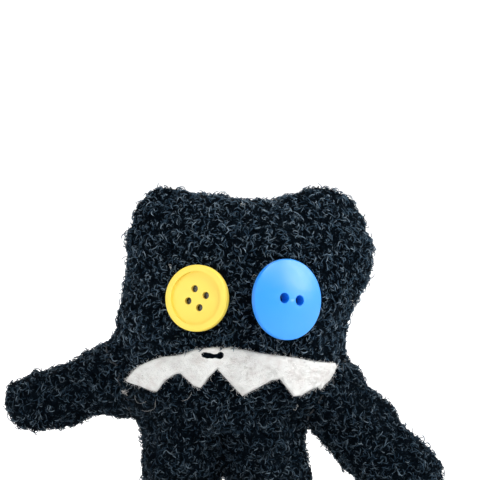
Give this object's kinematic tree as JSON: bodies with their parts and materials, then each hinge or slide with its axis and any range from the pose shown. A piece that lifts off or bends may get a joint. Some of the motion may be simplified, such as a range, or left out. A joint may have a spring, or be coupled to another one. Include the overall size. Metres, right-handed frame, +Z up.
{
  "type": "sock puppet",
  "caption": "Stuffed sock puppet: a fuzzy sock body with round arms and legs, two button eyes and a toothed felt mouth.",
  "frame": {"origin": "centre of the underside of the bounding box, on the plane that the two soles stand on", "axes": "+Z up, the face looks along -Y, +X towards the puppet's own left arm, which is on a viewer's right"},
  "size_m": [0.1578, 0.0628, 0.1367],
  "materials": {
    "sock_fabric": "near-black looped terry pile with a faint blue-grey sheen",
    "fibrefill": "white polyester fibrefill",
    "black_thread": "doubled black sewing thread",
    "yellow_plastic": "satin yellow moulded plastic",
    "blue_plastic": "smooth sky-blue moulded plastic",
    "hot_glue": "cloudy hot-melt glue",
    "white_felt": "white craft felt with loose surface fibres"
  },
  "bodies": {
    "torso": {"head_torso_cover": "sock_fabric", "head_torso_stuffing": "fibrefill", "head_top_stitches": "black_thread", "right_shoulder_stitches": "black_thread", "left_shoulder_stitches": "black_thread", "yellow_button": "yellow_plastic", "yellow_button_glue": "hot_glue", "blue_button": "blue_plastic", "blue_button_glue": "hot_glue", "felt_mouth": "white_felt", "mouth_glue": "hot_glue"},
    "right_arm": {"right_arm_cover": "sock_fabric", "right_arm_stuffing": "fibrefill", "right_hand_stitches": "black_thread"},
    "left_arm": {"left_arm_cover": "sock_fabric", "left_arm_stuffing": "fibrefill", "left_hand_stitches": "black_thread"},
    "right_leg": {"right_leg_cover": "sock_fabric", "right_leg_stuffing": "fibrefill", "right_leg_inseam_stitches": "black_thread", "right_foot_stitches": "black_thread"},
    "left_leg": {"left_leg_cover": "sock_fabric", "left_leg_stuffing": "fibrefill", "left_leg_inseam_stitches": "black_thread", "left_foot_stitches": "black_thread"}
  },
  "joints": [
    {"name": "right_arm_raise", "type": "hinge", "parent": "torso", "child": "right_arm", "pos_m": [-0.04425, 0.00586, 0.0651], "axis": [0, 1, 0], "range_deg": [-52, 34], "stiffness_Nm_per_rad": 0.02},
    {"name": "left_arm_raise", "type": "hinge", "parent": "torso", "child": "left_arm", "pos_m": [0.04105, 0.00586, 0.057], "axis": [0, -1, 0], "range_deg": [-28, 58], "stiffness_Nm_per_rad": 0.02},
    {"name": "right_leg_swing", "type": "hinge", "parent": "torso", "child": "right_leg", "pos_m": [-0.01615, 0.00436, 0.0365], "axis": [-1, 0, 0], "range_deg": [-30, 75], "stiffness_Nm_per_rad": 0.12},
    {"name": "left_leg_swing", "type": "hinge", "parent": "torso", "child": "left_leg", "pos_m": [0.01535, 0.00436, 0.0363], "axis": [-1, 0, 0], "range_deg": [-30, 75], "stiffness_Nm_per_rad": 0.12}
  ]
}
